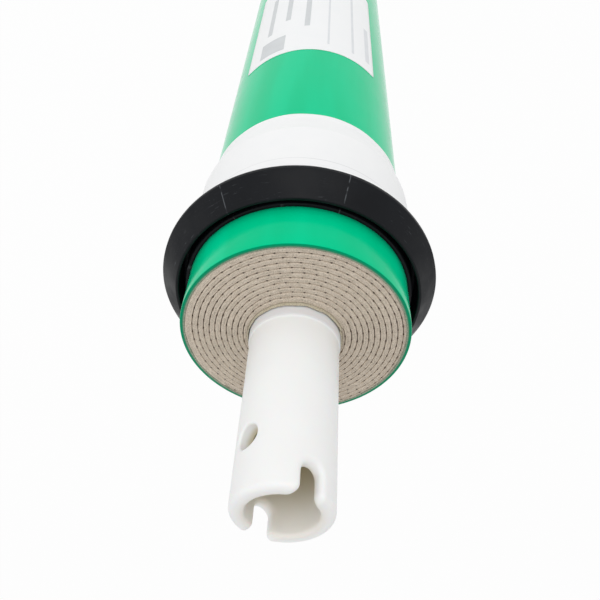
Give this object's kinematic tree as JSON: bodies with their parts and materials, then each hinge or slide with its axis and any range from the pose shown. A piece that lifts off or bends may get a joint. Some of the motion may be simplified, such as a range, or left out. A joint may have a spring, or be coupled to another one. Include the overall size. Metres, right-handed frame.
{
  "type": "reverse osmosis membrane element",
  "caption": "Spiral-wound membrane roll on a white centre tube, in a green wrap with a black lip seal near its notched end and rubber rings on its outlet spigot.",
  "frame": {"origin": "centre of the rim of the O-ring spigot, which the element stands on", "axes": "+Z along the element's axis, from the O-ring spigot up to the notched end; the label faces -Y"},
  "size_m": [0.0564, 0.0564, 0.298],
  "materials": {
    "tube_plastic": "satin white moulding",
    "ring_rubber": "satin black rubber",
    "carrier_knit": "knitted polyester sheet",
    "leaf_film": "cut edge of a glued membrane leaf",
    "spacer_net": "extruded net",
    "wrap_film": "glossy green tape winding",
    "seal_rubber": "matt black rubber",
    "tape_film": "smooth white tape",
    "label_film": "bare white label"
  },
  "bodies": {
    "root": {"permeate_tube": "tube_plastic", "lower_o_ring": "ring_rubber", "upper_o_ring": "ring_rubber", "permeate_carrier": "carrier_knit", "membrane_leaf": "leaf_film", "feed_spacer": "spacer_net", "outer_wrap": "wrap_film", "brine_seal": "seal_rubber", "seal_tape": "tape_film", "label": "label_film"}
  },
  "joints": []
}
